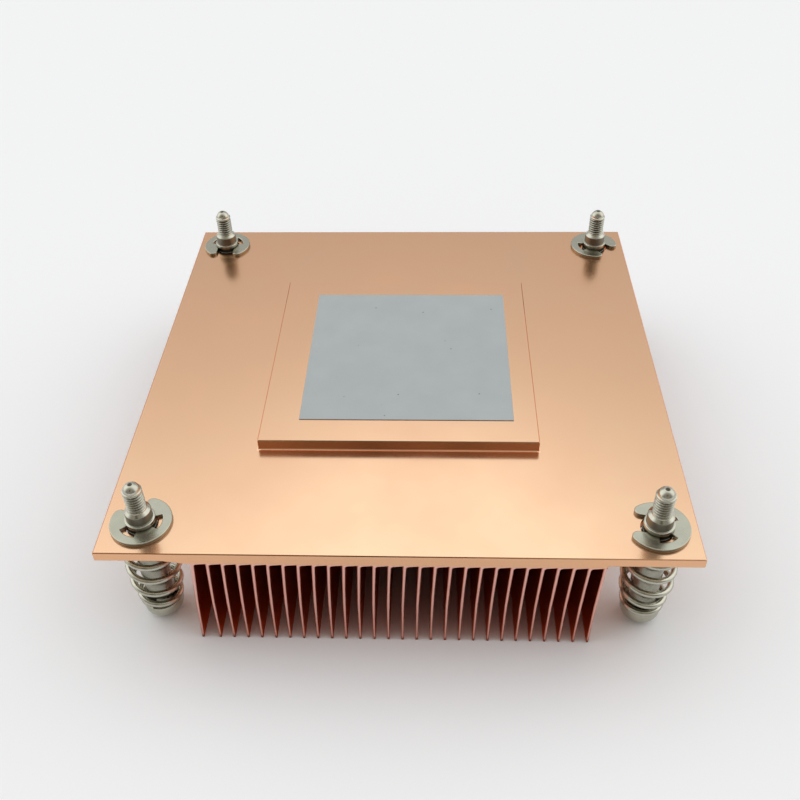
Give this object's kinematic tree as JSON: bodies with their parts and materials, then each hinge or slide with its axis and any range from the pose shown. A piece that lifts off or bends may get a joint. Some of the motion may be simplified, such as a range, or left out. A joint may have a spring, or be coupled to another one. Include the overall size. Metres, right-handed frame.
{
  "type": "passive server cpu heatsink",
  "caption": "Flat copper heatsink for a server processor: a square plate with a milled contact pedestal and pad, skived fins, and a spring-loaded captive screw in every corner.",
  "frame": {"origin": "below the middle of the plate, in the plane of the fin tips that the part stands on", "axes": "+Z towards the contact side, where the pad and the screw threads are; -Y is the front of the picture and +X its right; the fins run along Y"},
  "size_m": [0.09, 0.09, 0.0294],
  "materials": {
    "skived_copper": "bare copper, satin, finely machined",
    "grey_pad": "matte grey silicone thermal pad",
    "screw_steel": "nickel-plated steel, turned",
    "ring_steel": "zinc-plated stamped spring steel, satin",
    "spring_wire": "nickel-plated spring wire"
  },
  "bodies": {
    "root": {"heatsink_body": "skived_copper", "thermal_pad": "grey_pad", "spring_front_left": "spring_wire", "spring_front_right": "spring_wire", "spring_back_left": "spring_wire", "spring_back_right": "spring_wire"},
    "front_left_ring": {"retaining_ring_front_left": "ring_steel"},
    "front_left_screw": {"screw_front_left": "screw_steel"},
    "front_right_ring": {"retaining_ring_front_right": "ring_steel"},
    "front_right_screw": {"screw_front_right": "screw_steel"},
    "back_left_ring": {"retaining_ring_back_left": "ring_steel"},
    "back_left_screw": {"screw_back_left": "screw_steel"},
    "back_right_ring": {"retaining_ring_back_right": "ring_steel"},
    "back_right_screw": {"screw_back_right": "screw_steel"}
  },
  "joints": [
    {"name": "front_left_travel", "type": "slide", "parent": "root", "child": "front_left_ring", "axis": [0, 0, 1], "range_m": [0, 0.008], "stiffness_N_per_m": 5600, "springref_m": -0.001, "deforming": ["spring_front_left"]},
    {"name": "front_left_turn", "type": "hinge", "parent": "front_left_ring", "child": "front_left_screw", "pos_m": [-0.039, -0.039, 0.0209], "axis": [0, 0, 1], "continuous": true},
    {"name": "front_right_travel", "type": "slide", "parent": "root", "child": "front_right_ring", "axis": [0, 0, 1], "range_m": [0, 0.008], "stiffness_N_per_m": 5600, "springref_m": -0.001, "deforming": ["spring_front_right"]},
    {"name": "front_right_turn", "type": "hinge", "parent": "front_right_ring", "child": "front_right_screw", "pos_m": [0.039, -0.039, 0.0209], "axis": [0, 0, 1], "continuous": true},
    {"name": "back_left_travel", "type": "slide", "parent": "root", "child": "back_left_ring", "axis": [0, 0, 1], "range_m": [0, 0.008], "stiffness_N_per_m": 5600, "springref_m": -0.001, "deforming": ["spring_back_left"]},
    {"name": "back_left_turn", "type": "hinge", "parent": "back_left_ring", "child": "back_left_screw", "pos_m": [-0.039, 0.039, 0.0209], "axis": [0, 0, 1], "continuous": true},
    {"name": "back_right_travel", "type": "slide", "parent": "root", "child": "back_right_ring", "axis": [0, 0, 1], "range_m": [0, 0.008], "stiffness_N_per_m": 5600, "springref_m": -0.001, "deforming": ["spring_back_right"]},
    {"name": "back_right_turn", "type": "hinge", "parent": "back_right_ring", "child": "back_right_screw", "pos_m": [0.039, 0.039, 0.0209], "axis": [0, 0, 1], "continuous": true}
  ]
}
